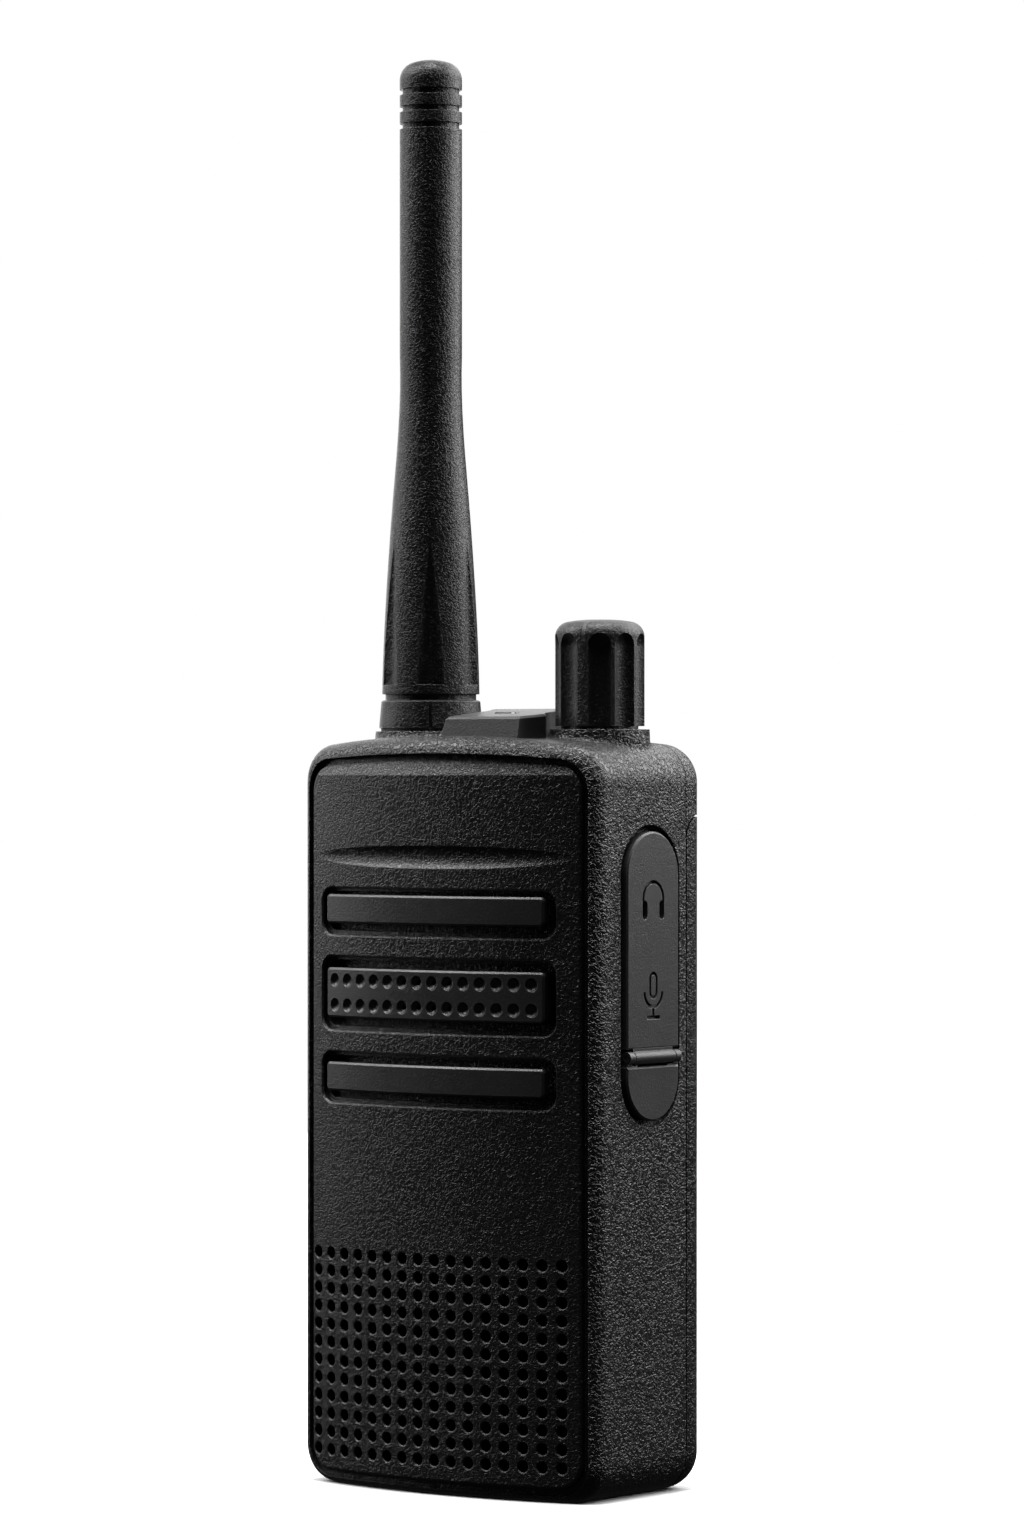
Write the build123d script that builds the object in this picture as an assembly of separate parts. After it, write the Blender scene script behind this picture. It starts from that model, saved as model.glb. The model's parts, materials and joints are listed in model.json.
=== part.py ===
from build123d import *
import math
import os

# Handheld two way radio, in millimetres.
# The front faces -Y, +Z is up, +X is the right-hand side seen from the front.
# The origin is on the base, under the middle of the body.

# ---- driving dimensions ----
HALF_W = 29.0            # half the body's width
BODY_H = 117.5           # height of the crowned top at its middle
SIDE_H = 115.6           # height of the top at the two sides
FRONT_Y = -17.5          # front surface at the middle
BACK_Y = 16.5
FRONT_R = 92.0           # radius of the bowed front
AXIS_Y = FRONT_Y + FRONT_R
CORNER_R = 6.0
FRONT_EDGE_R = 3.0
BACK_EDGE_R = 5.0

PANEL_T = 1.8            # fascia thickness
WALL_T = 1.8             # housing wall behind the fascia
INNER_HALF = 26.6        # half the width of the cavity
SPLIT_Y = 10.2           # parting line between the front and rear halves
SPLIT_GAP = 0.15
PACK_TOP = 104.9         # top of the battery pack
PACK_CORNER_R = 3.5
PACK_STEP = 1.8          # how far the pack's top drops inside its skin
CHASSIS_FRONT = 5.0
CHASSIS_BACK = 7.2
PAD_X = 24.6             # inner face of the thickened side walls
PAD_Z = (44.0, 107.0)

CREASE_DEPTH = 0.7       # of the soft crease above the bars, at its middle
CREASE_R = 2.6
CREASE_SWEEP = 115.5     # flatter than the front, so the crease fades at its ends

BAR_X = -0.8             # middle of the bars and grille
WINDOW_HALF = 22.9
WINDOWS = {"top": (86.4, 93.65), "mic": (71.45, 82.9), "low": (60.1, 67.9)}
BAR_HALF = 21.4
BARS = {"top": (88.2, 92.7), "mic": (73.4, 81.2), "low": (61.9, 66.4)}
KEY_STEM_X = 10.0

ANT_X, ANT_Y = -14.5, 1.5
KNOB_X, KNOB_Y = 18.7, 1.5
POINTER_DEG = -76.5      # way the knob's pointer faces, from +X
SPEAKER_Z = 21.0

KEYS_Y = -0.9            # middle of the side keys
COVER_Y = 0.6            # middle of the accessory cover
COVER_TOP = 102.7
COVER_LOW = 58.1
HINGE_X, HINGE_Z = 29.2, 67.95
HINGE_R = 1.0
JACKS = {"large": (92.4, 1.8, 3.1), "small": (77.8, 1.3, 2.6)}

BOARD_Y = (-8.0, -6.6)


# ---- shape helpers ----
def block(x0, x1, y0, y1, z0, z1):
    """A box given by its limits."""
    solid = Box(x1 - x0, y1 - y0, z1 - z0)
    return Pos((x0 + x1) / 2, (y0 + y1) / 2, (z0 + z1) / 2) * solid


def rod_z(x, y, r, z0, z1):
    return Pos(x, y, (z0 + z1) / 2) * Cylinder(r, z1 - z0)


def rod_y(x, z, r, y0, y1):
    return Pos(x, (y0 + y1) / 2, z) * Rot(90, 0, 0) * Cylinder(r, y1 - y0)


def rod_x(y, z, r, x0, x1):
    return Pos((x0 + x1) / 2, y, z) * Rot(0, 90, 0) * Cylinder(r, x1 - x0)


def along_y(face, y0, y1):
    """A face drawn in X and Z, swept from y0 to y1."""
    return Pos(0, y0, 0) * extrude(Plane.XZ * face, amount=-(y1 - y0))


def along_x(face, x0, x1):
    """A face drawn in Y and Z, swept from x0 to x1."""
    return Pos(x0, 0, 0) * extrude(Plane.YZ * face, amount=x1 - x0)


def upright_slot(yc, zc, w, h, x0, x1):
    """A round-ended bar standing along Z, swept along X."""
    return along_x(Pos(yc, zc) * SlotOverall(h, w, rotation=90), x0, x1)


def panel_face(half, low, side, crown, r):
    """The body's front outline: square sides, bowed top, round corners."""
    sides = Polyline((-half, side), (-half, low), (half, low), (half, side))
    bow = ThreePointArc((half, side), (0, crown), (-half, side))
    face = make_face(sides + bow)
    return fillet(face.vertices(), r)


def bowed(depth):
    """Everything behind the bowed surface that lies depth under the front."""
    return rod_z(0, AXIS_Y, FRONT_R - depth, -20, 260)


def bowed_slab(face, outer, inner):
    """A plate that follows the bowed front between two depths."""
    return along_y(face, -24, 6) & (bowed(outer) - bowed(inner))


def window_face(low, high, half, r):
    return Pos(BAR_X, (low + high) / 2) * RectangleRounded(2 * half, high - low, r)


def around(x, y, r, deg):
    a = math.radians(deg)
    return x + r * math.cos(a), y + r * math.sin(a)


def front_edges(solid, depth):
    """The edges that lie on the bowed surface at the given depth."""
    radius = FRONT_R - depth
    edges = []
    for e in solid.edges():
        ends = [math.hypot(v.X, v.Y - AXIS_Y) for v in e.vertices()]
        if ends and all(abs(d - radius) < 1e-3 for d in ends):
            edges.append(e)
    return edges


def whole(part):
    """The part as one compound of its solids."""
    solids = part.solids()
    if len(solids) == 1:
        return solids[0]
    return Compound(children=list(solids))


# ---- body envelope ----
def envelope():
    """The rounded outer shape that the housing, chassis and pack share."""
    outline = panel_face(HALF_W, 0, SIDE_H, BODY_H, CORNER_R)
    solid = along_y(outline, -22, BACK_Y) & bowed(0)
    solid = fillet(front_edges(solid, 0), FRONT_EDGE_R)
    rear = [e for e in solid.edges() if all(abs(v.Y - BACK_Y) < 1e-3 for v in e.vertices())]
    return fillet(rear, BACK_EDGE_R)


BODY = envelope()
PADS = [
    block(PAD_X, INNER_HALF + 0.6, -9, SPLIT_Y - SPLIT_GAP, PAD_Z[0], PAD_Z[1]),
    block(-INNER_HALF - 0.6, -PAD_X, -9, SPLIT_Y - SPLIT_GAP, PAD_Z[0], PAD_Z[1]),
]
CHASSIS_SCREWS = [(-20.5, 8.0), (20.5, 8.0), (-21.0, 41.0), (21.0, 41.0)]
BOARD_SCREWS = [(-16.5, 48.5), (16.5, 48.5), (-9.0, 109.0), (9.0, 109.0)]


# ---- front housing ----
def front_housing():
    shell = BODY - block(-40, 40, SPLIT_Y - SPLIT_GAP, 40, -5, 130)
    cavity = along_y(panel_face(INNER_HALF, 2.4, 112.4, 113.4, 4.0), -22, 40)
    shell = shell - (cavity & bowed(PANEL_T + WALL_T))
    shell = shell - bowed_slab(panel_face(27.3, 1.05, 113.55, 114.75, 4.95), -4, PANEL_T)
    for pad in PADS:
        shell = shell + pad
    shell = shell + rod_z(ANT_X, ANT_Y, 8.0, 112.3, 116.0)
    shell = shell + rod_z(KNOB_X, KNOB_Y, 7.4, 112.3, 116.0)
    shell = shell + Pos(ANT_X, ANT_Y, 116.15) * Cone(9.15, 8.75, 4.3)
    shell = shell + Pos(KNOB_X, KNOB_Y, 116.25) * Cone(7.95, 7.75, 4.5)
    feet = [e for e in shell.edges() if on_foot(e, ANT_X, 8.6) or on_foot(e, KNOB_X, 7.6)]
    shell = fillet(feet, 0.9)
    front_inner = bowed(PANEL_T + WALL_T - 0.2)
    ring = rod_y(0, SPEAKER_Z, 18.5, -16, -11.6) - rod_y(0, SPEAKER_Z, 16.6, -20, 0)
    shell = shell + (ring & front_inner)
    for x, z in CHASSIS_SCREWS:
        shell = shell + (rod_y(x, z, 2.6, -16, CHASSIS_FRONT - 0.05) & front_inner)
    for x, z in BOARD_SCREWS:
        shell = shell + (rod_y(x, z, 2.2, -16, BOARD_Y[0]) & front_inner)
    cuts = [
        rod_y(0, SPEAKER_Z, 16.6, -22, -11),
        rod_y(0, SPEAKER_Z, 17.7, -22, -8) - bowed(PANEL_T + 0.25),
        rod_y(0, 77.3, 1.0, -22, -12),
        rod_z(ANT_X, ANT_Y, 4.6, 110, 119),
        rod_z(KNOB_X, KNOB_Y, 3.55, 110, 119),
        rod_z(KNOB_X, KNOB_Y, 6.3, 116.4, 119),
        rod_z(4.0, -3.0, 1.3, 110, 121),
    ]
    for z in (90.45, 64.15):
        for x in (-KEY_STEM_X, KEY_STEM_X):
            cuts.append(block(BAR_X + x - 1.8, BAR_X + x + 1.8, -20, -11, z - 1.6, z + 1.6))
    for x, z in CHASSIS_SCREWS:
        cuts.append(rod_y(x, z, 0.9, -8, CHASSIS_FRONT + 1))
    for x, z in BOARD_SCREWS:
        cuts.append(rod_y(x, z, 0.75, -11.5, BOARD_Y[0] + 1))
    for low, high in WINDOWS.values():
        floor = along_y(window_face(low + 0.6, high - 0.45, WINDOW_HALF - 0.5, 1.5), -24, -4)
        cuts.append(floor - bowed(PANEL_T + 0.7))
    cuts += side_cuts()
    for cut in cuts:
        shell = shell - cut
    return whole(shell)


def on_foot(edge, x, inside):
    """Whether an edge runs round the foot of the round boss at x."""
    ends = edge.vertices()
    near = all(inside < math.hypot(v.X - x, v.Y - ANT_Y) < inside + 0.9 for v in ends)
    return near and all(115 < v.Z < 117.7 for v in ends)


def side_cuts():
    """Openings in the two side walls."""
    mid = (COVER_LOW + COVER_TOP) / 2
    height = COVER_TOP - COVER_LOW
    dish = upright_slot(COVER_Y, mid, 15.5, height + 2.1, 27.75, 33)
    outline = Pos(COVER_Y, mid) * SlotOverall(height + 2.1, 15.5, rotation=90)
    rim = extrude(Pos(28.3, 0, 0) * Plane.YZ * outline, amount=0.75, taper=-58)
    cuts = [dish, rim, block(27.75, 33, COVER_Y - 7.5, COVER_Y + 7.5, 66.6, 69.3)]
    for z, bore, outer in JACKS.values():
        cuts.append(rod_x(COVER_Y, z, outer + 0.05, 20, 33))
    cuts.append(rod_x(COVER_Y, 61.6, 1.0, 22, 33))
    cuts.append(upright_slot(KEYS_Y, 75.0, 15.0, 59.0, -33, -27.6))
    cuts.append(upright_slot(KEYS_Y, 75.0, 12.6, 56.6, -33, -20))
    return cuts


# ---- fascia ----
def cut_windows(panel):
    """Stepped windows for the three bars."""
    for low, high in WINDOWS.values():
        outer = along_y(window_face(low, high, WINDOW_HALF, 2.1), -24, -4)
        panel = panel - (outer - bowed(1.2))
        inner = window_face(low + 0.6, high - 0.45, WINDOW_HALF - 0.5, 1.5)
        panel = panel - along_y(inner, -24, -4)
    return panel


def on_front(x, z, depth):
    """A place on the bowed front whose Z axis points out of the surface."""
    radius = FRONT_R - depth
    lean = math.degrees(math.asin(x / FRONT_R))
    y = AXIS_Y - math.sqrt(radius * radius - x * x)
    return Pos(x, y, z) * Rot(0, 0, lean) * Rot(90, 0, 0)


def grille_holes():
    """Through holes, each with a small countersink square to the surface."""
    sink = Cone(0.75, 1.45, 0.7)
    holes = []
    for row in range(12):
        for col in range(16):
            x = BAR_X + (col - 7.5) * 3.2
            z = 5.4 + row * 2.81
            holes.append(rod_y(x, z, 0.9, -20, -8))
            holes.append(on_front(x, z, 0) * Pos(0, 0, 0.05) * sink)
    return holes


def mic_holes():
    """Round dimples, the middle ones with a sound hole."""
    holes = []
    for z in (75.35, 79.25):
        for col in range(14):
            x = BAR_X + (col - 6.5) * 2.98
            holes.append(on_front(x, z, -0.5) * Pos(0, 0, 0.55) * Sphere(1.22))
            if 5 <= col <= 8:
                holes.append(rod_y(x, z, 0.4, -20, -8))
    return holes


def front_panel():
    panel = bowed_slab(panel_face(26.3, 2.05, 112.55, 113.75, 3.95), 0, 1.05)
    panel = fillet(front_edges(panel, 0), 0.6)
    panel = panel + bowed_slab(panel_face(27.25, 1.1, 113.5, 114.7, 4.9), 0.95, PANEL_T)
    slope = rod_z(0, AXIS_Y, FRONT_R + 3, 111.4, 116.4)
    panel = panel - (slope - Pos(0, AXIS_Y, 113.9) * Cone(FRONT_R, FRONT_R - 2.0, 5.0))
    crease = Pos(0, FRONT_Y + CREASE_DEPTH + CREASE_SWEEP, 98.7)
    panel = panel - crease * Torus(CREASE_SWEEP + CREASE_R, CREASE_R)
    panel = cut_windows(panel)
    rims = [e for e in front_edges(panel, 0) if window_edge(e.bounding_box())]
    return whole(chamfer(rims, 0.3) - grille_holes())


def window_edge(box):
    """Whether an edge's limits lie inside the area of the windows."""
    return box.min.Z > 58 and box.max.Z < 95 and abs(box.min.X + box.max.X) < 50


# ---- front bars and keys ----
def bar_solid(name, outer, inner):
    """A bar that follows the bowed front, with its front edges bevelled."""
    low, high = BARS[name]
    bar = bowed_slab(window_face(low, high, BAR_HALF, 0.7), outer, inner)
    return chamfer(front_edges(bar, outer), 0.3)


def mic_grille_bar():
    return whole(bar_solid("mic", -0.5, PANEL_T + 0.68) - mic_holes())


def front_key(name):
    """A bar key on two stems, held from behind by a flange on each."""
    key = bar_solid(name, -0.6, 0.8)
    low, high = BARS[name]
    z = (low + high) / 2
    for side in (-KEY_STEM_X, KEY_STEM_X):
        x = BAR_X + side
        stem = block(x - 1.5, x + 1.5, -18, -10.0, z - 1.3, z + 1.3) & bowed(0.4)
        key = key + stem + block(x - 2.3, x + 2.3, -12.9, -12.1, z - 2.1, z + 2.1)
    return whole(key)


# ---- sound parts ----
def speaker_cloth():
    disc = rod_y(0, SPEAKER_Z, 17.6, -20, -8)
    return whole(disc & (bowed(PANEL_T + 0.02) - bowed(PANEL_T + 0.23)))


def speaker_gasket():
    return whole(rod_y(0, SPEAKER_Z, 18.3, -11.6, -10.8) - rod_y(0, SPEAKER_Z, 16.8, -12, -10))


def turned_y(points, z):
    """A round solid about the line along Y at height z, from (radius, y) points."""
    face = Plane.XY * make_face(Polyline(*points, close=True))
    return Pos(0, 0, z) * revolve(face, Axis.Y)


def speaker_frame():
    shape = [(15.4, -10.8), (18.2, -10.8), (18.2, -9.8), (16.6, -9.8), (10.5, -5.0)]
    shape += [(8.2, -5.0), (8.2, -5.8), (10.1, -5.8), (15.4, -10.0)]
    frame = turned_y(shape, SPEAKER_Z)
    for k in range(6):
        a = math.radians(30 + 60 * k)
        x, z = 12.6 * math.cos(a), SPEAKER_Z + 12.6 * math.sin(a)
        frame = frame - rod_y(x, z, 2.0, -9.4, -4)
    return whole(frame)


def speaker_cone():
    shape = [(15.3, -10.7), (15.3, -10.3), (13.6, -9.9), (5.2, -7.2), (4.8, -5.9), (4.4, -5.9)]
    shape += [(4.4, -7.6), (0, -9.0), (0, -9.3), (4.8, -7.9), (13.4, -10.4), (14.4, -10.9)]
    return whole(turned_y(shape, SPEAKER_Z))


def speaker_magnet():
    ring = turned_y([(5.2, -5.0), (9.6, -5.0), (9.6, -1.6), (5.2, -1.6)], SPEAKER_Z)
    plate = rod_y(0, SPEAKER_Z, 9.2, -1.6, -0.6)
    return whole(ring + plate + rod_y(0, SPEAKER_Z, 3.9, -5.6, -1.2))


def mic_boot():
    boot = rod_y(0, 77.3, 4.4, -13.6, -11.0) - rod_y(0, 77.3, 3.1, -13.0, -10)
    return whole(boot - rod_y(0, 77.3, 0.9, -14, -12))


def mic_capsule():
    capsule = rod_y(0, 77.3, 3.0, -13.0, -10.8)
    for x in (-1.0, 1.0):
        capsule = capsule + rod_y(x, 77.3, 0.25, -10.9, BOARD_Y[0])
    return whole(capsule)


# ---- electronics ----
def main_board():
    board = block(-24, 24, BOARD_Y[0], BOARD_Y[1], 45, 111.8)
    board = fillet(board.edges().filter_by(Axis.Y), 1.5)
    for x, z in BOARD_SCREWS:
        board = board - rod_y(x, z, 0.9, -10, -5)
    return whole(board)


def board_screws():
    screws = []
    for x, z in BOARD_SCREWS:
        screw = rod_y(x, z, 0.75, -11.4, BOARD_Y[1]) + rod_y(x, z, 1.5, BOARD_Y[1], -5.5)
        screws.append(screw - block(x - 1.1, x + 1.1, -6.0, -5.0, z - 0.2, z + 0.2))
    return Compound(children=[whole(s) for s in screws])


def rf_shields():
    cans = []
    for x0, x1, z0, z1 in ((-17.5, -2.0, 53, 76), (-17.5, 2.0, 80, 101), (1.0, 10.0, 53, 76)):
        can = block(x0, x1, BOARD_Y[1], -3.4, z0, z1)
        can = fillet(can.edges().filter_by(Axis.Y), 0.6)
        cans.append(can - block(x0 + 0.3, x1 - 0.3, -7, -3.7, z0 + 0.3, z1 - 0.3))
    return Compound(children=[whole(c) for c in cans])


def board_components():
    chips = [
        block(-14, -6, BOARD_Y[1], -5.4, 60, 68),
        block(-12, -4, BOARD_Y[1], -5.2, 86, 94),
        block(-9, 3, -9.4, BOARD_Y[0], 95, 105),
        block(-4, 8, -10.0, BOARD_Y[0], 47.5, 51.0),
        block(12, 20, -9.2, BOARD_Y[0], 98, 104),
        block(3.2, 4.8, BOARD_Y[1], -5.6, 104.5, 107.5),
    ]
    return Compound(children=[whole(c) for c in chips])


def dome_switches():
    domes = []
    for z in (90.45, 64.15):
        for side in (-KEY_STEM_X, KEY_STEM_X):
            x = BAR_X + side
            domes.append(whole(rod_y(x, z, 2.2, -8.9, BOARD_Y[0]) + rod_y(x, z, 0.8, -9.15, -8.9)))
    return Compound(children=domes)


# ---- top: antenna ----
def revolved(points):
    """A round solid about Z from (radius, z) points."""
    return revolve(Plane.XZ * make_face(Polyline(*points, close=True)), Axis.Z)


def antenna_bushing():
    bushing = rod_z(0, 0, 4.55, 106, 118.1) + rod_z(0, 0, 6.4, 110.6, 112.25)
    bushing = bushing - rod_z(0, 0, 3.1, 108.5, 119)
    return whole(Pos(ANT_X, ANT_Y, 0) * bushing)


def antenna_washer():
    ring = rod_z(0, 0, 7.9, 118.3, 118.8) - rod_z(0, 0, 3.4, 118, 119)
    return whole(Pos(ANT_X, ANT_Y, 0) * ring)


def antenna_collar():
    side = [(8.2, 118.8), (8.15, 119.6), (7.85, 123.0), (7.6, 123.2), (7.2, 123.25), (7.2, 124.2)]
    collar = revolved([(0, 118.8)] + side + [(0, 124.2)])
    collar = collar - rod_z(0, 0, 2.6, 118, 125)
    for deg in (-53, 127):
        x, y = around(0, 0, 8.1, deg)
        collar = collar - rod_z(x, y, 0.3, 118, 124)
    return whole(Pos(ANT_X, ANT_Y, 0) * collar)


def antenna_stud():
    stud = rod_z(0, 0, 2.6, 110.0, 127.0)
    for k in range(11):
        z = 110.6 + 0.7 * k
        stud = stud + Pos(0, 0, z) * (Cone(2.6, 3.05, 0.3, align=(Align.CENTER, Align.CENTER, Align.MIN)))
    return whole(Pos(ANT_X, ANT_Y, 0) * stud)


def antenna_sheath():
    """A flexible sheath that flares to a fluted foot, with rings at the tip."""
    flare = Spline((4.95, 178), (5.25, 165), (6.05, 155), (6.75, 145.5), (7.72, 124.2))
    wall = Polyline((7.72, 124.2), (0, 124.2), (0, 224.8))
    dome = ThreePointArc((0, 224.8), (1.4, 224.7), (2.8, 224.38))
    shoulder = ThreePointArc((2.8, 224.38), (4.4, 223.3), (4.95, 221.5))
    side = Line((4.95, 221.5), (4.95, 178))
    sheath = revolve(Plane.XZ * make_face(flare + wall + dome + shoulder + side), Axis.Z)
    for z in (219.6, 216.9, 214.2):
        sheath = sheath - (rod_z(0, 0, 6, z - 0.45, z + 0.45) - rod_z(0, 0, 4.5, z - 1, z + 1))
    for k in range(6):
        deg = -53 + 60 * k
        foot = Cone(3.5, 0.25, 23.0, align=(Align.CENTER, Align.CENTER, Align.MIN))
        flute = Rot(0, 0, deg) * Pos(10.05, 0, 126.0) * Rot(0, -8.2, 0) * foot
        sheath = sheath - flute
    sheath = sheath - rod_z(0, 0, 2.2, 127.0, 216) - rod_z(0, 0, 2.65, 124, 127.0)
    return whole(Pos(ANT_X, ANT_Y, 0) * sheath)


def antenna_core():
    return whole(Pos(ANT_X, ANT_Y, 0) * rod_z(0, 0, 1.0, 127.0, 214))


def antenna_coil():
    path = Pos(ANT_X, ANT_Y, 135) * Helix(4.0, 72, 1.6)
    return sweep(Plane(path @ 0, z_dir=path % 0) * Circle(0.28), path)


# ---- top: volume knob ----
def knob_shape(shrink):
    """The knob without its flutes: straight sides, a round shoulder, a low dome."""
    top = 135.5 - shrink
    r = 6.95 - shrink
    rim = Polyline((0, top), (0, 119), (r, 119), (r, 133.0))
    shoulder = ThreePointArc((r, 133.0), (r - 0.6, top - 1.05), (r - 1.9, top - 0.3))
    dome = ThreePointArc((r - 1.9, top - 0.3), (r / 2, top - 0.08), (0, top))
    return revolve(Plane.XZ * make_face(rim + shoulder + dome), Axis.Z)


def volume_knob():
    knob = knob_shape(0)
    for k in range(10):
        x, y = around(0, 0, 8.59, POINTER_DEG + 22.5 + 35 * k)
        knob = knob - rod_z(x, y, 2.6, 116, 131.4) - Pos(x, y, 131.4) * Sphere(2.6)
    knob = knob + rod_z(0, 0, 6.0, 117.3, 119.2)
    knob = knob - rod_z(0, 0, 5.6, 117, 124.5) - rod_z(0, 0, 4.0, 124, 132)
    slot = Rot(0, 0, POINTER_DEG) * block(1.6, 7.5, -0.3, 0.3, 132.2, 136)
    return whole(Pos(KNOB_X, KNOB_Y, 0) * (knob - (slot - knob_shape(0.35))))


def pointer_shape():
    strip = Rot(0, 0, POINTER_DEG) * block(1.6, 7.5, -0.3, 0.3, 132.2, 136)
    return strip & (knob_shape(0.05) - knob_shape(0.35))


def knob_pointer():
    return whole(Pos(KNOB_X, KNOB_Y, 0) * pointer_shape())


def knob_insert():
    tube = rod_z(0, 0, 4.0, 124.5, 131.9) - rod_z(0, 0, 3.0, 124, 131.6)
    return whole(Pos(KNOB_X, KNOB_Y, 0) * tube)


def knob_shaft():
    shaft = rod_z(0, 0, 3.0, 106, 131.4) + rod_z(0, 0, 4.2, 105.0, 109.4)
    shaft = shaft - block(-1.0, 1.0, -0.4, 0.4, 130.6, 132)
    return whole(Pos(KNOB_X, KNOB_Y, 0) * shaft)


def volume_pot():
    pot = block(-5.4, 5.4, -5.5, 5.4, 102.5, 112.2) + rod_z(0, 0, 3.5, 112, 121.0)
    pot = pot - rod_z(0, 0, 4.6, 104.5, 110.0) - rod_z(0, 0, 3.06, 109, 122)
    for x in (-2.5, 0, 2.5):
        pot = pot + block(x - 0.3, x + 0.3, -8.1, -5.4, 103.2, 103.6)
    return whole(Pos(KNOB_X, KNOB_Y, 0) * pot)


def pot_nut():
    nut = Pos(0, 0, 116.5) * extrude(RegularPolygon(5.2, 6), amount=1.8)
    return whole(Pos(KNOB_X, KNOB_Y, 0) * (nut - rod_z(0, 0, 3.5, 116, 119)))


# ---- top: raised block with its lamp ----
def top_block():
    """A low deck between the two bosses, its front and left sides leaning in."""
    corners = ((-2.1, -12.6), (13.2, -12.6), (13.2, -4.0), (7.0, 9.6), (-9.7, 9.6))
    plan = make_face(Polyline(*corners, close=True))
    solid = extrude(Pos(0, 0, 113.6) * plan, amount=10)
    solid = solid - Pos(0, 0, 121.25) * Rot(3.8, 0, 0) * block(-30, 30, -30, 30, 0, 20)
    solid = solid - Pos(0, -12.6, 116.6) * Rot(-10, 0, 0) * block(-30, 30, -10, 0, -10, 20)
    left = Pos(-2.0, -12.6, 116.6) * Rot(0, 0, 19.4) * Rot(0, 18, 0)
    solid = solid - left * block(-20, 0, -30, 60, -20, 20)
    solid = chamfer([e for e in solid.edges() if e.bounding_box().min.Z > 119.0], 0.35)
    solid = solid - rod_z(ANT_X, ANT_Y, 9.6, 100, 130) - rod_z(KNOB_X, KNOB_Y, 8.6, 100, 130)
    solid = solid - (BODY - block(-40, 40, -40, 40, -5, 105))
    solid = solid - extrude(Pos(4.0, -3.0, 118.6) * SlotOverall(4.6, 2.2), amount=6)
    return whole(solid - rod_z(4.0, -3.0, 1.25, 110, 121))


def led_lens():
    lens = extrude(Pos(4.0, -3.0, 118.6) * SlotOverall(4.6, 2.2), amount=2.65)
    return whole(chamfer(lens.faces().sort_by(Axis.Z)[-1].edges(), 0.3))


def light_pipe():
    return whole(rod_z(4.0, -3.0, 1.1, 110.0, 118.6) + block(3.2, 4.8, -5.4, -3.0, 110.0, 111.4))


# ---- left side: push-to-talk and side keys ----
SIDE_KEYS = {
    "lower": (54.0, 9.0, 9.0, 0.9),
    "talk": (75.0, 27.0, 10.4, 1.9),
    "upper": (96.0, 9.0, 9.0, 0.9),
}


def slot_or_disc(yc, zc, w, h, x0, x1):
    if abs(w - h) < 0.01:
        return rod_x(yc, zc, w / 2, x0, x1)
    return upright_slot(yc, zc, w, h, x0, x1)


def side_bezel():
    bezel = upright_slot(KEYS_Y, 75.0, 14.8, 58.8, -29.15, -27.6)
    bezel = chamfer(bezel.faces().sort_by(Axis.X)[0].edges(), 0.4)
    bezel = bezel + upright_slot(KEYS_Y, 75.0, 12.4, 56.4, -27.7, -24.8)
    for z, h, w, _ in SIDE_KEYS.values():
        bezel = bezel - slot_or_disc(KEYS_Y, z, w, h, -33, -20)
    return whole(bezel)


def side_key(name):
    """A side button: cap, waist and a flange that keeps it in."""
    z, h, w, proud = SIDE_KEYS[name]
    cap = slot_or_disc(KEYS_Y, z, w - 0.7, h - 0.7, -29.15 - proud, -24.4)
    outer = cap.faces().sort_by(Axis.X)[0].edges()
    cap = fillet(outer, min(0.8, proud * 0.8))
    flange = slot_or_disc(KEYS_Y, z, w + 0.9, h + 0.9, -24.5, -23.9)
    solid = cap + flange + block(-24, -23.35, KEYS_Y - 1.8, KEYS_Y + 1.8, z - 1.8, z + 1.8)
    return solid


def talk_button():
    solid = side_key("talk")
    for k in range(-3, 4):
        z = 75.0 + 2.7 * k
        solid = solid - Pos(-31.35, KEYS_Y, z) * Rot(90, 0, 0) * Cylinder(0.55, 6.4 - abs(k) * 0.5)
    return whole(solid)


def lower_side_key():
    solid = side_key("lower")
    return whole(solid - rod_x(KEYS_Y, 54.0, 1.3, -31, -29.8))


def upper_side_key():
    solid = side_key("upper")
    ring = rod_x(KEYS_Y, 96.0, 2.0, -31, -29.8) - rod_x(KEYS_Y, 96.0, 1.3, -32, -29)
    return whole(solid - ring)


def side_board():
    return whole(block(-20.6, -19.8, -5.2, 4.2, 48, 102))


def side_switches():
    switches = []
    for z, _, _, _ in SIDE_KEYS.values():
        body = block(-22.0, -20.6, KEYS_Y - 2.4, KEYS_Y + 2.4, z - 2.4, z + 2.4)
        switches.append(whole(body + rod_x(KEYS_Y, z, 1.0, -22.2, -22.0)))
    return Compound(children=switches)


# ---- right side: accessory cover and sockets ----
def cover_outline(x0, x1, grow):
    mid = (COVER_LOW + COVER_TOP) / 2
    return upright_slot(COVER_Y, mid, 13.6 + grow, COVER_TOP - COVER_LOW + grow, x0, x1)


SIGN_DEPTH = 0.6


def headset_sign():
    """A headband and two ear pads, cut into the cover's face."""
    y, z, low = COVER_Y, 92.3, 29.6 - SIGN_DEPTH
    band = rod_x(y, z, 2.9, low, 31) - rod_x(y, z, 2.35, 20, 32)
    band = band - block(20, 32, y - 4, y + 4, z - 5, z - 1.0)
    pads = []
    for side in (-1, 1):
        pads.append(upright_slot(y + side * 2.2, z - 1.7, 1.3, 2.9, low, 31))
    return band + pads


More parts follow.
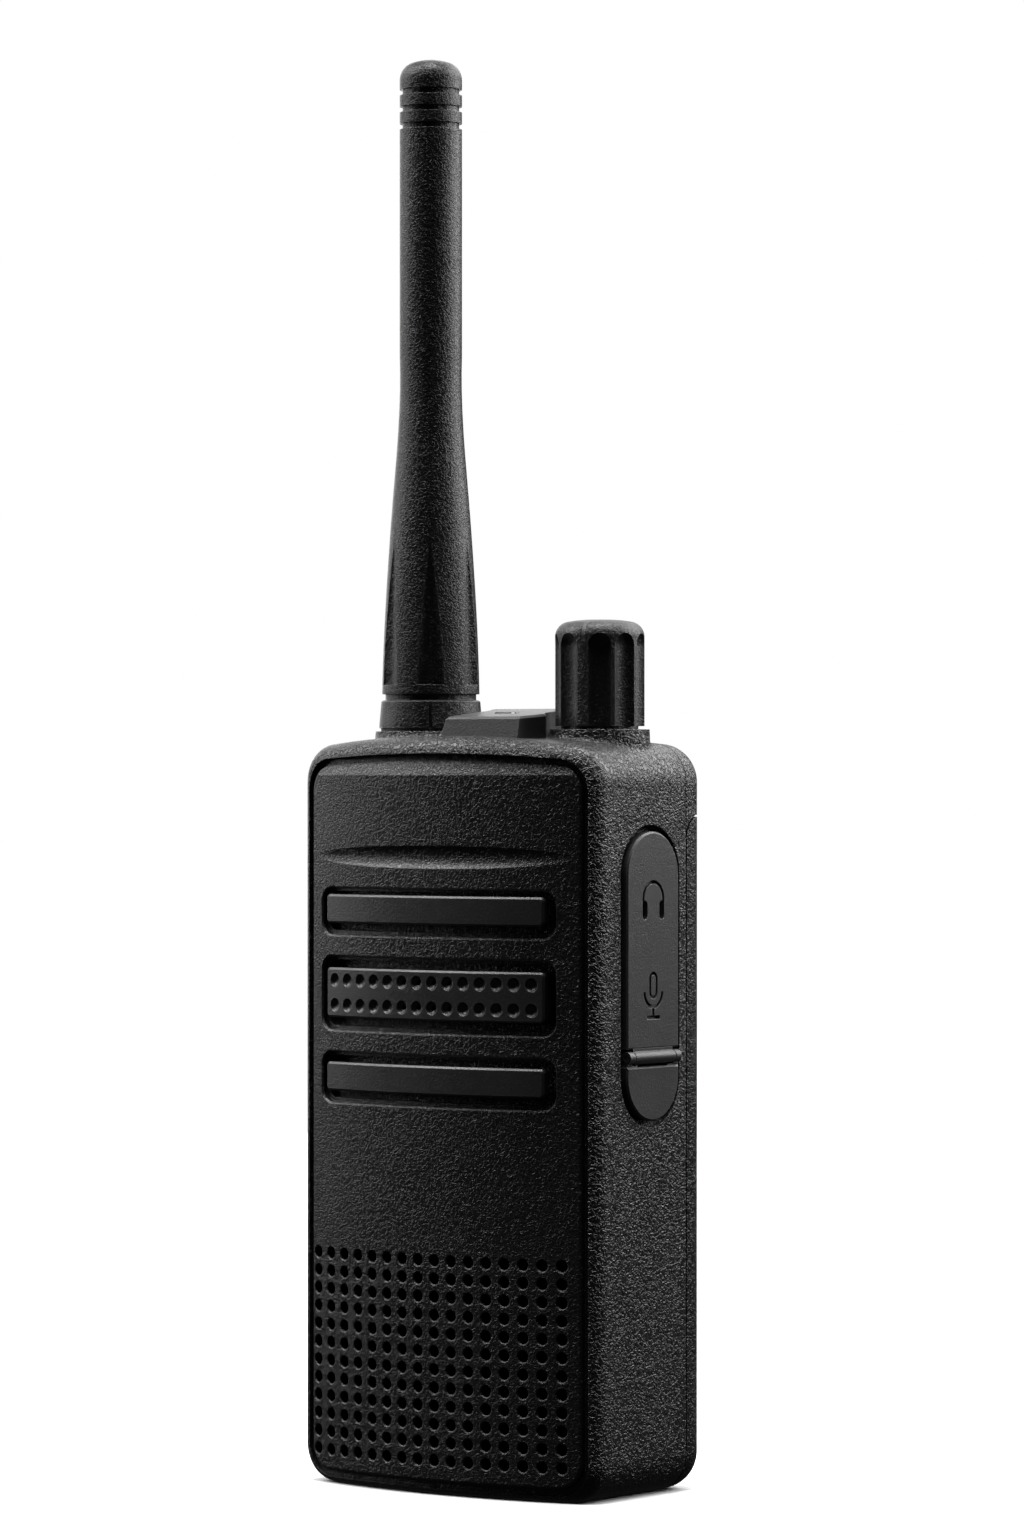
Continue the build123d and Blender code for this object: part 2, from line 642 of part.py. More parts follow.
def mic_sign():
    """An upright capsule in a cradle on a stand, cut into the cover's face."""
    y, z, low = COVER_Y, 78.4, 29.6 - SIGN_DEPTH
    capsule = upright_slot(y, z + 0.6, 2.2, 4.2, low, 31) - upright_slot(y, z + 0.6, 1.2, 3.2, 20, 32)
    cradle = rod_x(y, z - 0.4, 2.6, low, 31) - rod_x(y, z - 0.4, 2.05, 20, 32)
    cradle = cradle - block(20, 32, y - 4, y + 4, z - 0.4, z + 4)
    stand = block(low, 31, y - 0.28, y + 0.28, z - 4.2, z - 2.6)
    foot = block(low, 31, y - 1.7, y + 1.7, z - 4.6, z - 4.05)
    return capsule + cradle + stand + foot


def face_edges(solid, x):
    return [e for e in solid.edges() if abs(e.bounding_box().min.X - x) < 1e-3]


def dust_cover_flap():
    flap = cover_outline(28.0, 29.6, 0) - block(20, 40, -20, 20, 0, 69.3)
    flap = chamfer(face_edges(flap, 29.6), 0.25)
    flap = flap - headset_sign() - mic_sign()
    flap = flap + block(28.5, 29.5, COVER_Y - 5.2, COVER_Y + 5.2, HINGE_Z, 69.4)
    flap = flap + rod_y(HINGE_X, HINGE_Z, HINGE_R, COVER_Y - 5.2, COVER_Y + 5.2)
    flap = flap - rod_y(HINGE_X, HINGE_Z, 0.46, -20, 20)
    for z, bore, _ in JACKS.values():
        flap = flap + rod_x(COVER_Y, z, bore + 0.9, 27.75, 28.1) - rod_x(COVER_Y, z, bore + 0.4, 27, 28)
    return whole(flap)


def dust_cover_anchor():
    """The fixed lower end, with an ear at each side for the hinge pin."""
    anchor = cover_outline(27.75, 29.6, 0) - block(20, 40, -20, 20, 66.55, 200)
    anchor = chamfer(face_edges(anchor, 29.6), 0.25)
    for side in (-1, 1):
        near, far = COVER_Y + side * 5.4, COVER_Y + side * 6.7
        y0, y1 = sorted((near, far))
        anchor = anchor + rod_y(HINGE_X, HINGE_Z, HINGE_R, y0, y1)
        anchor = anchor + block(27.8, 29.5, y0, y1, 66.7, HINGE_Z)
        y0, y1 = sorted((near - side * 1.5, far))
        anchor = anchor + block(27.8, 29.4, y0, y1, 65.6, 66.75)
    anchor = anchor - rod_y(HINGE_X, HINGE_Z, 0.4, -20, 20)
    return whole(anchor + rod_x(COVER_Y, 61.6, 0.95, 23.6, 28.0))


def cover_pin():
    return whole(rod_y(HINGE_X, HINGE_Z, 0.4, COVER_Y - 6.6, COVER_Y + 6.6))


def anchor_clip():
    """A push-on steel clip that holds the anchor's peg from inside."""
    clip = rod_x(COVER_Y, 61.6, 2.6, 24.0, 24.5) - rod_x(COVER_Y, 61.6, 0.95, 23, 26)
    for deg in (0, 90, 180, 270):
        y, z = around(COVER_Y, 61.6, 1.15, deg)
        clip = clip - rod_x(y, z, 0.4, 23, 26)
    return whole(clip)


def jack(name):
    z, bore, outer = JACKS[name]
    body = block(13.0, 24.4, COVER_Y - 3.7, COVER_Y + 3.7, z - 3.7, z + 3.7)
    body = body + rod_x(COVER_Y, z, outer, 24.0, 27.6)
    body = body - rod_x(COVER_Y, z, bore, 14.6, 30)
    for side in (-2.4, 2.4):
        body = body + block(15, 15.6, BOARD_Y[1], -3.0, z + side - 0.3, z + side + 0.3)
    return whole(body)


# ---- rear: the pack's share of the body ----
def pack_region(front, top):
    """The space behind front and below top, its upper front corner rounded."""
    face = make_face(Polyline((front, -5), (front, top), (40, top), (40, -5), close=True))
    corner = [v for v in face.vertices() if v.X < front + 1 and v.Y > 0]
    return along_x(fillet(corner, PACK_CORNER_R), -40, 40)


def inner_step(grow, low, high):
    """A plug set in from the body's skin, square in front and round behind."""
    half = 27.2 + grow
    plug = block(-half, half, SPLIT_Y - 1, 14.9 + grow, low, high)
    rear = [e for e in plug.edges().filter_by(Axis.Z) if e.bounding_box().min.Y > 12]
    return fillet(rear, 3.6)


# ---- rear: chassis ----
def rear_chassis():
    """The cast frame: a plate in front of the pack and a cap above it."""
    chassis = block(-24.3, 24.3, CHASSIS_FRONT, CHASSIS_BACK, 3.4, 96.3)
    chassis = chassis + block(-24.3, 24.3, CHASSIS_FRONT, SPLIT_Y, 94.3, 96.3)
    chassis = chassis + block(-24.3, 24.3, 8.0, SPLIT_Y, 94.3, 111.8)
    cap = BODY & block(-40, 40, SPLIT_Y, 40, PACK_TOP - 5, 130)
    cap = cap - pack_region(SPLIT_Y + SPLIT_GAP - 0.3, PACK_TOP + 0.3)
    plug = inner_step(0, PACK_TOP - PACK_STEP + 0.3, PACK_TOP + 0.8)
    chassis = chassis + cap + (plug - block(-40, 40, 0, SPLIT_Y, 90, 120))
    cuts = [block(-3.9, 3.9, 13.2, 20, 102, 107.2)]
    for side in (-16.3, 16.3):
        cuts.append(block(side - 4.7, side + 4.7, 7, 14.2, 107.0, 111.2))
    for x, z in CHASSIS_SCREWS:
        cuts.append(rod_y(x, z, 1.1, 4, 9))
        cuts.append(rod_y(x, z, 2.1, CHASSIS_BACK - 1.4, 9))
    for x in (-8, 0, 8):
        cuts.append(rod_y(x, 12, 1.3, 4, 9))
    for x in (-11, 11):
        cuts.append(rod_y(x, 110.6, 1.25, 11.5, 20))
    cuts.append(rod_z(ANT_X, ANT_Y, 9.3, 112, 120))
    for cut in cuts:
        chassis = chassis - cut
    return whole(chassis)


def chassis_screws():
    screws = []
    for x, z in CHASSIS_SCREWS:
        screw = rod_y(x, z, 0.9, -6, 5.8) + rod_y(x, z, 1.9, 5.8, 7.1)
        screws.append(whole(screw - block(x - 1.4, x + 1.4, 6.6, 8, z - 0.25, z + 0.25)))
    return Compound(children=screws)


def main_seal():
    ring = block(-26.5, 26.5, 5.2, 6.6, 2.5, 98.4) - block(-24.35, 24.35, 4, 9, 3.35, 96.35)
    for pad in PADS:
        ring = ring - pad
    return whole(ring & along_y(panel_face(26.5, 2.5, 112.3, 113.3, 3.9), 0, 10))


def contact_block():
    body = block(-11, 11, 3.2, CHASSIS_FRONT, 8, 16)
    for x in (-8, 0, 8):
        body = body - rod_y(x, 12, 0.9, 3.6, 6)
    return whole(body)


def contact_pins():
    pins = []
    for x in (-8, 0, 8):
        pins.append(whole(rod_y(x, 12, 0.9, 3.6, 6.4) + rod_y(x, 12, 0.6, 6.3, 7.42)))
    return Compound(children=pins)


# ---- battery pack ----
def battery_shell():
    """The pack's outer shell, with the latch pocket at its top."""
    shell = BODY & pack_region(SPLIT_Y + SPLIT_GAP, PACK_TOP)
    shell = shell - inner_step(0.3, PACK_TOP - PACK_STEP, PACK_TOP + 1)
    shell = shell - block(-24.25, 24.25, 9, 12.0, 4.95, 93.0)
    shell = shell - block(-23.0, 23.0, 11.9, 15.2, 6.2, 91.6)
    cuts = [
        block(-7.8, 7.8, 13.3, 15.8, 92.8, 101.9),
        block(-5.8, 5.8, 15.7, 20, 93.9, 101.3),
        block(-3.8, 3.8, 13.3, 15.3, 101.8, 106),
        along_y(Pos(0, 58) * RectangleRounded(42, 56, 3), 16.1, 20),
    ]
    for k in range(6):
        z = 21.0 - 2.2 * k
        if z > 15:
            cuts.append(Pos(0, BACK_Y + 0.3, z) * Rot(0, 90, 0) * Cylinder(0.75, 34))
    for x in (-8, 0, 8):
        cuts.append(rod_y(x, 10.0, 1.9, 15.9, 20))
    for cut in cuts:
        shell = shell - cut
    return whole(shell)


def battery_tub():
    tub = block(-24.2, 24.2, 7.5, 12.0, 5.0, 92.95)
    tub = tub - block(-23.0, 23.0, 8.7, 13, 6.2, 91.6)
    for x in (-8, 0, 8):
        tub = tub - block(x - 2, x + 2, 7, 7.8, 9, 15)
    return whole(tub)


def battery_cells():
    cells = []
    for x in (-11.4, 11.4):
        cell = block(x - 11.2, x + 11.2, 8.8, 15.0, 18.5, 91)
        cells.append(whole(fillet(cell.edges().filter_by(Axis.Z), 1.6)))
    return Compound(children=cells)


def battery_board():
    return whole(block(-22, 22, 9.4, 10.4, 7.0, 17.5))


def battery_contacts():
    pads = [whole(block(x - 1.95, x + 1.95, 7.5, 7.8, 9.05, 14.95)) for x in (-8, 0, 8)]
    return Compound(children=pads)


def charging_contacts():
    pads = [whole(rod_y(x, 10.0, 1.85, 15.9, 16.25)) for x in (-8, 0, 8)]
    return Compound(children=pads)


def battery_latch():
    latch = block(-7.5, 7.5, 13.6, 15.5, 95.5, 101.6)
    thumb = block(-5.5, 5.5, 15.4, 17.2, 96.2, 101.0)
    thumb = chamfer(thumb.faces().sort_by(Axis.Y)[-1].edges(), 0.4)
    for k in range(4):
        thumb = thumb - Pos(0, 17.3, 97.2 + 0.95 * k) * Rot(0, 90, 0) * Cylinder(0.3, 8)
    latch = latch + thumb + block(-3.5, 3.5, 13.6, 15.0, 101.5, 106.4)
    return whole(latch)


def latch_spring():
    """Few coils of thin wire, so that its closed height is under 0.73 mm."""
    path = Pos(0, 14.5, 93.1) * Helix(1.2, 2.1, 0.85)
    return sweep(Plane(path @ 0, z_dir=path % 0) * Circle(0.13), path)


NODES = {
    "front_housing": front_housing,
    "front_panel": front_panel,
    "mic_grille_bar": mic_grille_bar,
    "upper_front_key": lambda: front_key("top"),
    "lower_front_key": lambda: front_key("low"),
    "speaker_cloth": speaker_cloth,
    "speaker_gasket": speaker_gasket,
    "speaker_frame": speaker_frame,
    "speaker_cone": speaker_cone,
    "speaker_magnet": speaker_magnet,
    "mic_boot": mic_boot,
    "mic_capsule": mic_capsule,
    "main_board": main_board,
    "board_screws": board_screws,
    "rf_shields": rf_shields,
    "board_components": board_components,
    "dome_switches": dome_switches,
    "antenna_bushing": antenna_bushing,
    "antenna_washer": antenna_washer,
    "antenna_collar": antenna_collar,
    "antenna_stud": antenna_stud,
    "antenna_sheath": antenna_sheath,
    "antenna_core": antenna_core,
    "antenna_coil": antenna_coil,
    "volume_knob": volume_knob,
    "knob_pointer": knob_pointer,
    "knob_insert": knob_insert,
    "knob_shaft": knob_shaft,
    "volume_pot": volume_pot,
    "pot_nut": pot_nut,
    "top_block": top_block,
    "led_lens": led_lens,
    "light_pipe": light_pipe,
    "side_bezel": side_bezel,
    "talk_button": talk_button,
    "upper_side_key": upper_side_key,
    "lower_side_key": lower_side_key,
    "side_board": side_board,
    "side_switches": side_switches,
    "dust_cover_flap": dust_cover_flap,
    "dust_cover_anchor": dust_cover_anchor,
    "cover_pin": cover_pin,
    "anchor_clip": anchor_clip,
    "headset_jack_large": lambda: jack("large"),
    "headset_jack_small": lambda: jack("small"),
    "rear_chassis": rear_chassis,
    "chassis_screws": chassis_screws,
    "main_seal": main_seal,
    "contact_block": contact_block,
    "contact_pins": contact_pins,
    "battery_shell": battery_shell,
    "battery_tub": battery_tub,
    "battery_cells": battery_cells,
    "battery_board": battery_board,
    "battery_contacts": battery_contacts,
    "charging_contacts": charging_contacts,
    "battery_latch": battery_latch,
    "latch_spring": latch_spring,
}

os.makedirs("parts", exist_ok=True)
for node, make in NODES.items():
    export_step(make(), "parts/" + node + ".step")
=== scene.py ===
import json
import math

import bpy
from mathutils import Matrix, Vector


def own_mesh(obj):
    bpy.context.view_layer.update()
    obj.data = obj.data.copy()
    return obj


MM = 0.001

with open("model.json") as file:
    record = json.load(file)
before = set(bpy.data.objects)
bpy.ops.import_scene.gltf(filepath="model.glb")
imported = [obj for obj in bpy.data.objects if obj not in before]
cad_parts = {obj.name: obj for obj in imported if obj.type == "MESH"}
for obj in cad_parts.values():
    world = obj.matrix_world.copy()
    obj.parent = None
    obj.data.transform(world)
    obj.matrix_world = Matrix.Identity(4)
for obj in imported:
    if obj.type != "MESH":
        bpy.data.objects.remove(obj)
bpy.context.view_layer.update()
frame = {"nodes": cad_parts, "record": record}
nodes = frame["nodes"]
scene = bpy.context.scene

# ---- camera: level with the body's top, to the right of the front ----
AZIMUTH = math.radians(37.0)
AIM_HEIGHT = 112.5 * MM
DISTANCE = 950 * MM
SENSOR_WIDTH = 36
LENS = 141.8
AIM_SHIFT = 2.2 * MM      # the frame's middle lies this far right of the body's axis
NEAR_CLIP, FAR_CLIP = 0.05, 20

# ---- grain of the moulded plastics; densities and reaches are relative to the grain's size ----
CREASE_HALF_WIDTH = 0.11  # how far from the noise's middle value a crease reaches
CREASE_SHARE = 0.6        # the creases' part of the height
PEBBLE_SHARE = 0.55       # the pebbles' part of what the creases leave; the rest is fine noise
PEBBLE_DENSITY = 1.2
FINE_DENSITY = 2.6
WARP_DENSITY = 0.7
WARP_REACH = 0.8

# ---- slow changes over a surface, in noise cells per metre ----
CLOUDS = 60
SMEARS = 38
WEAR_AND_HIGHLIGHT_PATCHES = 420
LATHE_LINES = 1800
DULL_PATCHES = 240
THREADS = 900

# ---- edges painted pale: partly wear, partly a painted highlight ----
EDGE_SAMPLES = 4
WEAR_AND_HIGHLIGHT_STARTS, WEAR_AND_HIGHLIGHT_FULL = 0.995, 0.85   # cosine between the rounded and the true normal
WEAR_AND_HIGHLIGHT_WIDTH = 1.5                       # times the edge's own softness
LEAST_WEAR_AND_HIGHLIGHT_WIDTH = 0.32                # millimetres
WEAR_POLISH = 0.12                     # how much smoother a worn edge is

# ---- floor and light ----
FLOOR_REACH = 6.0
ROOM = 0.022              # lights the radio from all round
WALL = 1.0                # what the camera sees behind it
OVERHEAD_POWER = 4.3
OVERHEAD_SPREAD = math.radians(35)
LIGHT_AIM = Vector((0, 0, 0.1))


# ---- node helpers ----
class Graph:
    """A material's node tree, with short calls for the nodes used here."""

    def __init__(self, name):
        self.material = bpy.data.materials.new(name)
        self.material.use_nodes = True
        self.tree = self.material.node_tree
        self.shader = self.tree.nodes["Principled BSDF"]
        self.place = self.add("ShaderNodeTexCoord").outputs["Object"]

    def add(self, kind, **settings):
        node = self.tree.nodes.new(kind)
        for key, value in settings.items():
            setattr(node, key, value)
        return node

    def link(self, source, target):
        self.tree.links.new(source, target)

    def drive(self, socket_name, source):
        """Feed one input of the material's shader."""
        self.link(source, self.shader.inputs[socket_name])

    def noise(self, scale, detail=2.0, rough=0.5, distort=0.0, stretch=(1, 1, 1)):
        """Noise over the object's coordinates, which stretch scales per axis."""
        mapping = self.add("ShaderNodeMapping")
        mapping.inputs["Scale"].default_value = stretch
        self.link(self.place, mapping.inputs["Vector"])
        node = self.add("ShaderNodeTexNoise")
        node.inputs["Scale"].default_value = scale
        node.inputs["Detail"].default_value = detail
        node.inputs["Roughness"].default_value = rough
        node.inputs["Distortion"].default_value = distort
        self.link(mapping.outputs["Vector"], node.inputs["Vector"])
        return node.outputs["Fac"]

    def pebbles(self, scale, warp_reach, warp_scale):
        """Soft cells whose places are pushed about by a noise."""
        ripple = self.add("ShaderNodeTexNoise")
        ripple.inputs["Scale"].default_value = warp_scale
        self.link(self.place, ripple.inputs["Vector"])
        move = self.add("ShaderNodeVectorMath", operation="MULTIPLY_ADD")
        move.inputs[1].default_value = (warp_reach, warp_reach, warp_reach)
        self.link(ripple.outputs["Color"], move.inputs[0])
        self.link(self.place, move.inputs[2])
        cells = self.add("ShaderNodeTexVoronoi", feature="SMOOTH_F1")
        cells.inputs["Scale"].default_value = scale
        cells.inputs["Smoothness"].default_value = 0.7
        self.link(move.outputs[0], cells.inputs["Vector"])
        return cells.outputs["Distance"]

    def ramp(self, source, low, high, out_low=0.0, out_high=1.0):
        node = self.add("ShaderNodeMapRange", clamp=True)
        node.inputs["From Min"].default_value = low
        node.inputs["From Max"].default_value = high
        node.inputs["To Min"].default_value = out_low
        node.inputs["To Max"].default_value = out_high
        self.link(source, node.inputs["Value"])
        return node.outputs["Result"]

    def math(self, operation, a, b=0):
        node = self.add("ShaderNodeMath", operation=operation)
        for k, value in enumerate((a, b)):
            if isinstance(value, (int, float)):
                node.inputs[k].default_value = value
            else:
                self.link(value, node.inputs[k])
        return node.outputs["Value"]

    def mixed(self, share, a, b):
        """a weighed by its share, plus b weighed by the rest."""
        return self.math("ADD", self.math("MULTIPLY", a, share), self.math("MULTIPLY", b, 1 - share))

    def blend(self, factor, dark, light):
        node = self.add("ShaderNodeMix", data_type="RGBA")
        node.inputs["A"].default_value = (*dark, 1)
        node.inputs["B"].default_value = (*light, 1)
        self.link(factor, node.inputs["Factor"])
        return node.outputs["Result"]

    def blend_over(self, factor, below, colour):
        node = self.add("ShaderNodeMix", data_type="RGBA")
        node.inputs["B"].default_value = (*colour, 1)
        self.link(below, node.inputs["A"])
        self.link(factor, node.inputs["Factor"])
        return node.outputs["Result"]

    def bump(self, height, distance, strength=1.0, below=None):
        node = self.add("ShaderNodeBump")
        node.inputs["Strength"].default_value = strength
        node.inputs["Distance"].default_value = distance
        self.link(height, node.inputs["Height"])
        if below is not None:
            self.link(below, node.inputs["Normal"])
        return node.outputs["Normal"]

    def rounded(self, radius):
        node = self.add("ShaderNodeBevel", samples=EDGE_SAMPLES)
        node.inputs["Radius"].default_value = radius
        return node.outputs["Normal"]

    def edges(self, radius):
        """How far an edge is painted pale, as wear and as a painted highlight: 1 where the rounded normal
        leaves the true one.
        """
        geometry = self.add("ShaderNodeNewGeometry")
        dot = self.add("ShaderNodeVectorMath", operation="DOT_PRODUCT")
        self.link(self.rounded(radius), dot.inputs[0])
        self.link(geometry.outputs["Normal"], dot.inputs[1])
        return self.ramp(dot.outputs["Value"], WEAR_AND_HIGHLIGHT_STARTS, WEAR_AND_HIGHLIGHT_FULL)


def times(colour, factor):
    return tuple(c * factor for c in colour)


# ---- materials ----
def moulded(name, tone, rough, grain, depth, wear_and_highlight=0.6, specular=0.5, edge=0.25):
    """Moulded black plastic or rubber with a leather-like grain.

    grain is the grain's size, depth its height and edge the softness of its
    edges, all in millimetres; the edge-paint strength says how far the edges are
    painted pale, partly as wear and partly as a painted highlight.
    """
    g = Graph(name)
    g.shader.inputs["Specular IOR Level"].default_value = specular

    size = 1.0 / (grain * MM)
    ripple = g.noise(size, 1.5, 0.5, distort=0.5)
    creases = g.ramp(g.math("ABSOLUTE", g.math("SUBTRACT", ripple, 0.5)), 0.0, CREASE_HALF_WIDTH)
    pebbles = g.pebbles(size * PEBBLE_DENSITY, grain * MM * WARP_REACH, size * WARP_DENSITY)
    fine = g.noise(size * FINE_DENSITY, 3.0, 0.6)
    height = g.mixed(CREASE_SHARE, creases, g.mixed(PEBBLE_SHARE, pebbles, fine))
    g.drive("Normal", g.bump(height, depth * MM, below=g.rounded(edge * MM)))

    # Half random cloudy tone, half the grain's height: the grain's creases are painted darker, a painted
    # shade.
    tone_and_crease_shade = g.mixed(0.5, g.noise(CLOUDS, 3.0, 0.6), height)
    body = g.blend(tone_and_crease_shade, times(tone, 0.65), times(tone, 1.35))
    # The edges are painted pale: partly rubbed wear, partly a painted highlight that stands in for the shine
    # along rounded edges.
    wear_and_highlight_mask = g.edges(max(edge * WEAR_AND_HIGHLIGHT_WIDTH, LEAST_WEAR_AND_HIGHLIGHT_WIDTH) * MM)
    patchy_wear_and_highlight = g.ramp(g.noise(WEAR_AND_HIGHLIGHT_PATCHES, 4.0, 0.7), 0.3, 0.62, 0.35 * wear_and_highlight, wear_and_highlight)
    pale_wear_and_highlight = tuple(min(1.0, c * 2.0 + 0.08) for c in tone)
    g.drive("Base Color", g.blend_over(g.math("MULTIPLY", wear_and_highlight_mask, patchy_wear_and_highlight), body, pale_wear_and_highlight))

    smears = g.noise(SMEARS, 4.0, 0.65, stretch=(1, 1, 0.45))
    satin = g.ramp(smears, 0.3, 0.7, rough - 0.05, rough + 0.06)
    g.drive("Roughness", g.math("SUBTRACT", satin, g.math("MULTIPLY", wear_and_highlight_mask, WEAR_POLISH)))
    return g.material


def metal(name, colour, rough):
    """Turned, rolled or plated metal with fine lines and a few dull patches."""
    g = Graph(name)
    g.shader.inputs["Metallic"].default_value = 1.0
    lines = g.noise(LATHE_LINES, 2.0, 0.5, stretch=(1, 1, 14))
    patches = g.noise(DULL_PATCHES, 3.0, 0.6)
    g.drive("Base Color", g.blend(patches, times(colour, 0.7), colour))
    g.drive("Roughness", g.ramp(lines, 0.3, 0.7, rough - 0.08, rough + 0.1))
    g.drive("Normal", g.bump(lines, 0.02 * MM, 0.6, below=g.rounded(0.12 * MM)))
    return g.material


def woven(name, colour):
    """A plain weave cloth, its threads crossing in X and Z."""
    g = Graph(name)
    waves = []
    for axis in ("X", "Z"):
        wave = g.add("ShaderNodeTexWave", bands_direction=axis)
        wave.inputs["Scale"].default_value = THREADS
        g.link(g.place, wave.inputs["Vector"])
        waves.append(wave.outputs["Fac"])
    weave = g.math("MULTIPLY", *waves)
    g.drive("Base Color", g.blend(weave, times(colour, 0.4), colour))
    g.drive("Roughness", g.ramp(weave, 0, 1, 0.95, 0.8))
    g.drive("Normal", g.bump(weave, 0.08 * MM))
    return g.material


def grey(level, blue=0.0005):
    """A neutral tone, a touch cooler in its blue."""
    return level, level, level + blue


# Each moulded entry: name, tone, roughness, grain size and grain height, then what differs from the usual.
# The chassis is painted metal, and carries the housing's grain where its strip shows above the battery pack.
MATERIALS = {
    "housing_plastic": moulded("housing_grain", grey(0.012), 0.33, 0.66, 0.19, edge=0.28),
    "panel_plastic": moulded("panel_grain", grey(0.006), 0.34, 0.60, 0.07, edge=0.26, wear_and_highlight=0.7),
    "bar_plastic": moulded("bar_satin", grey(0.015), 0.38, 0.45, 0.022, specular=0.7, edge=0.12, wear_and_highlight=1.0),
    "cover_rubber": moulded("cover_satin", grey(0.040, 0.001), 0.42, 0.35, 0.022, edge=0.15, wear_and_highlight=0.8),
    "antenna_rubber": moulded(
        "antenna_grain", grey(0.005), 0.34, 0.45, 0.065, specular=0.42, edge=0.14, wear_and_highlight=0.7
    ),
    "knob_plastic": moulded("knob_satin", grey(0.009), 0.40, 0.5, 0.06, edge=0.14, wear_and_highlight=1.0),
    "pointer_paint": moulded("pointer_paint", grey(0.05, 0), 0.45, 0.2, 0.01, edge=0.1),
    "block_plastic": moulded("block_satin", grey(0.028), 0.42, 0.45, 0.03, edge=0.14, wear_and_highlight=1.0),
    "lens_plastic": moulded("lens_smoke", grey(0.02, 0.002), 0.22, 0.6, 0.004, edge=0.2),
    "pipe_plastic": moulded("pipe_clear", (0.6, 0.62, 0.64), 0.12, 0.6, 0.002, edge=0.1),
    "button_rubber": moulded("button_rubber", grey(0.016), 0.48, 0.4, 0.025, edge=0.3),
    "seal_rubber": moulded("seal_rubber", grey(0.03, 0), 0.6, 0.4, 0.03, edge=0.1),
    "cloth": woven("speaker_cloth", grey(0.006)),
    "chassis_metal": moulded("chassis_coat", grey(0.012), 0.33, 0.66, 0.19, edge=0.28),
    "steel": metal("steel_satin", (0.55, 0.55, 0.56), 0.32),
    "brass": metal("brass_turned", (0.72, 0.55, 0.28), 0.28),
    "board_green": moulded("board_mask", (0.02, 0.14, 0.06), 0.35, 0.8, 0.01, edge=0.1),
    "chip_black": moulded("chip_black", grey(0.02, 0), 0.45, 0.2, 0.01, edge=0.15),
    "tin": metal("tinned_sheet", (0.62, 0.62, 0.60), 0.4),
    "cone_paper": moulded("cone_paper", grey(0.04, 0), 0.8, 0.4, 0.05, edge=0.1),
    "pack_plastic": moulded("pack_grain", grey(0.010), 0.36, 0.66, 0.17, specular=0.34, edge=0.28),
    "cell_wrap": metal("cell_foil", (0.60, 0.62, 0.65), 0.35),
    "gold": metal("gold_plate", (0.85, 0.65, 0.28), 0.25),
}

slot_of = {s["node"]: s["material_slot"] for s in frame["record"]["subparts"]}
for name, obj in nodes.items():
    for slot in obj.material_slots:
        slot.material = MATERIALS[slot_of[name]]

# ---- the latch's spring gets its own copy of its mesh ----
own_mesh(nodes["latch_spring"])

# ---- floor: pale, and kept out of the radio's reflections as by black cards ----
floor_mesh = bpy.data.meshes.new("floor")
corners = [(x * FLOOR_REACH, y * FLOOR_REACH, 0) for x, y in ((-1, -1), (1, -1), (1, 1), (-1, 1))]
floor_mesh.from_pydata(corners, [], [(0, 1, 2, 3)])
floor = bpy.data.objects.new("floor", floor_mesh)
scene.collection.objects.link(floor)
paint = Graph("floor_paint")
paint.shader.inputs["Specular IOR Level"].default_value = 0.1
paint.drive("Base Color", paint.blend(paint.noise(6, 3.0), (0.80, 0.80, 0.80), (0.83, 0.83, 0.83)))
paint.drive("Roughness", paint.ramp(paint.noise(30, 3.0), 0.3, 0.7, 0.6, 0.7))
floor.data.materials.append(paint.material)
floor.visible_glossy = False
floor.visible_diffuse = False

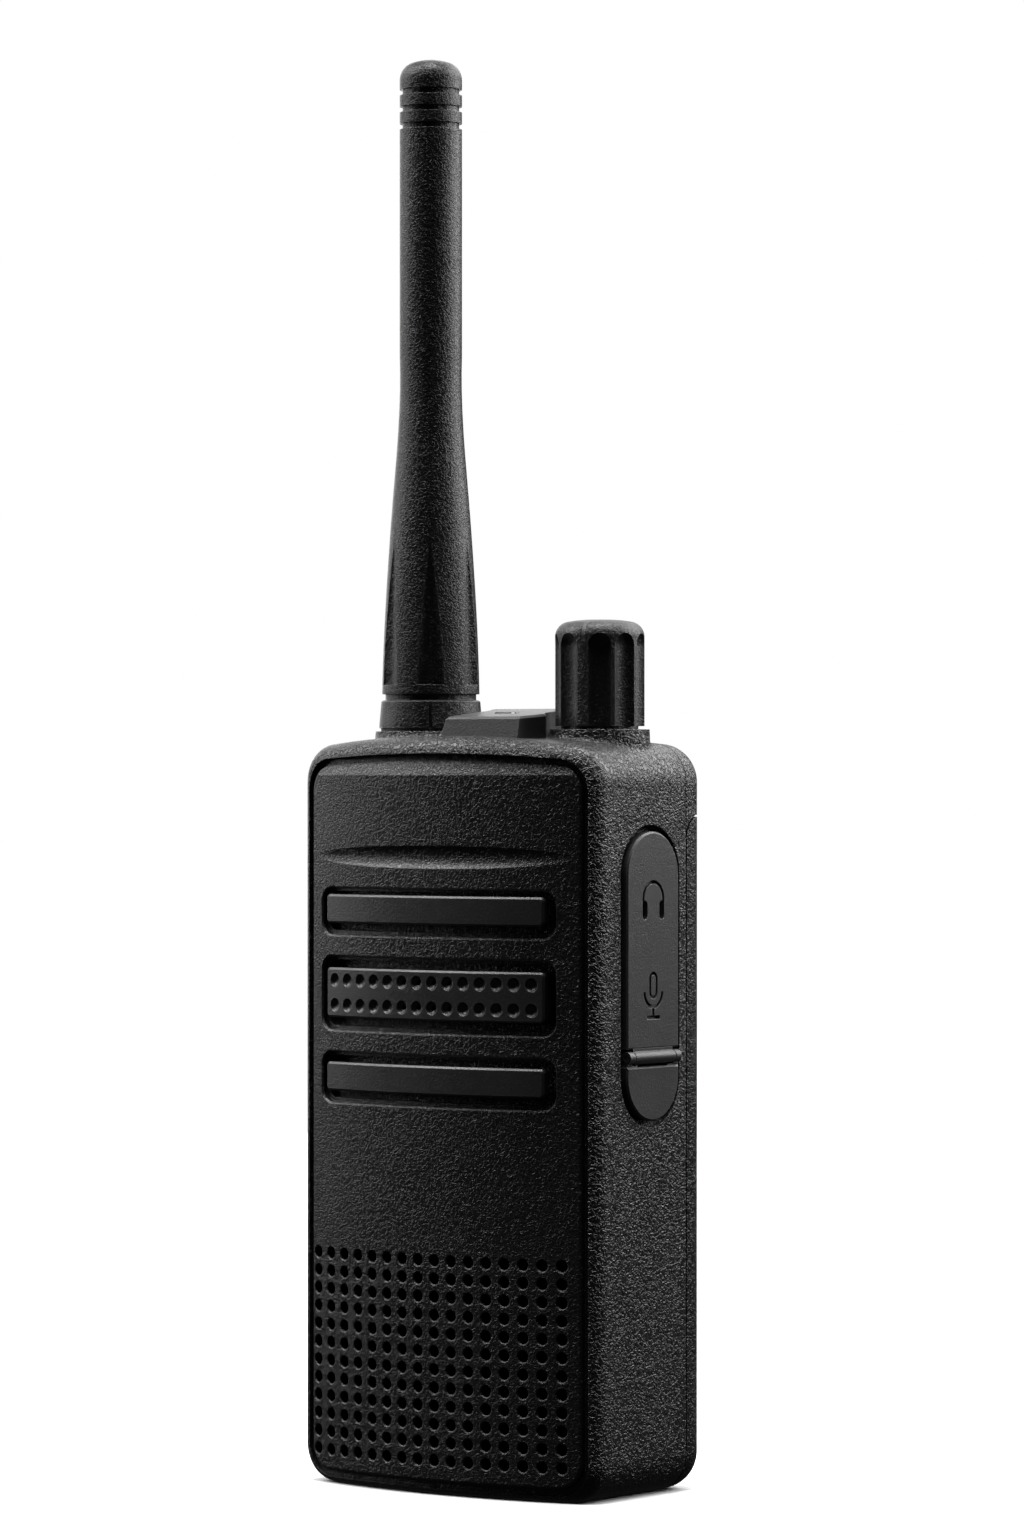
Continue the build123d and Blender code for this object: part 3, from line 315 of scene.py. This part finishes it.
# ---- light: a dim room, a white wall behind, five soft boxes and an overhead light ----
world = bpy.data.worlds.new("studio")
world.use_nodes = True
sky = world.node_tree
fill = sky.nodes["Background"]
wall = sky.nodes.new("ShaderNodeBackground")
for background, strength in ((fill, ROOM), (wall, WALL)):
    background.inputs["Color"].default_value = (1.0, 1.0, 1.0, 1)
    background.inputs["Strength"].default_value = strength
choice = sky.nodes.new("ShaderNodeMixShader")
sky.links.new(sky.nodes.new("ShaderNodeLightPath").outputs["Is Camera Ray"], choice.inputs["Fac"])
sky.links.new(fill.outputs["Background"], choice.inputs[1])
sky.links.new(wall.outputs["Background"], choice.inputs[2])
sky.links.new(choice.outputs["Shader"], sky.nodes["World Output"].inputs["Surface"])
scene.world = world


def softbox(name, azimuth, height, distance, width, tall, glow):
    """An area light at an azimuth counted like the camera's, aimed at the radio.

    glow is the brightness of its face, so a larger box gives more light.
    """
    light = bpy.data.lights.new(name, "AREA")
    light.shape = "RECTANGLE"
    light.size, light.size_y = width, tall
    light.energy = glow * math.pi * width * tall
    obj = bpy.data.objects.new(name, light)
    a = math.radians(azimuth)
    obj.location = Vector((math.sin(a) * distance, -math.cos(a) * distance, height))
    obj.rotation_mode = "QUATERNION"
    obj.rotation_quaternion = (LIGHT_AIM - obj.location).to_track_quat("-Z", "Y")
    obj.visible_camera = False
    scene.collection.objects.link(obj)


softbox("left_box", -78, 0.40, 0.75, 0.50, 0.7, 2.7)
softbox("left_rear", -128, 0.35, 0.8, 0.5, 0.7, 2.0)
softbox("high_left", -62, 0.80, 0.62, 0.46, 0.46, 9.5)
softbox("right_box", 146, 0.33, 0.34, 0.34, 0.38, 6.4)
softbox("back_box", 196, 0.62, 0.75, 0.45, 0.5, 2.4)

overhead = bpy.data.lights.new("overhead", "SUN")
overhead.energy = OVERHEAD_POWER
overhead.angle = OVERHEAD_SPREAD
scene.collection.objects.link(bpy.data.objects.new("overhead", overhead))

# ---- camera ----
camera_data = bpy.data.cameras.new("camera")
camera_data.sensor_width = SENSOR_WIDTH
camera_data.lens = LENS
camera_data.clip_start, camera_data.clip_end = NEAR_CLIP, FAR_CLIP
camera = bpy.data.objects.new("camera", camera_data)
right = Vector((math.cos(AZIMUTH), math.sin(AZIMUTH), 0))
back = Vector((math.sin(AZIMUTH), -math.cos(AZIMUTH), 0))
camera.location = back * DISTANCE + right * AIM_SHIFT + Vector((0, 0, AIM_HEIGHT))
camera.rotation_mode = "QUATERNION"
camera.rotation_quaternion = (-back).to_track_quat("-Z", "Y")
scene.collection.objects.link(camera)
scene.camera = camera

scene.view_settings.view_transform = "Standard"
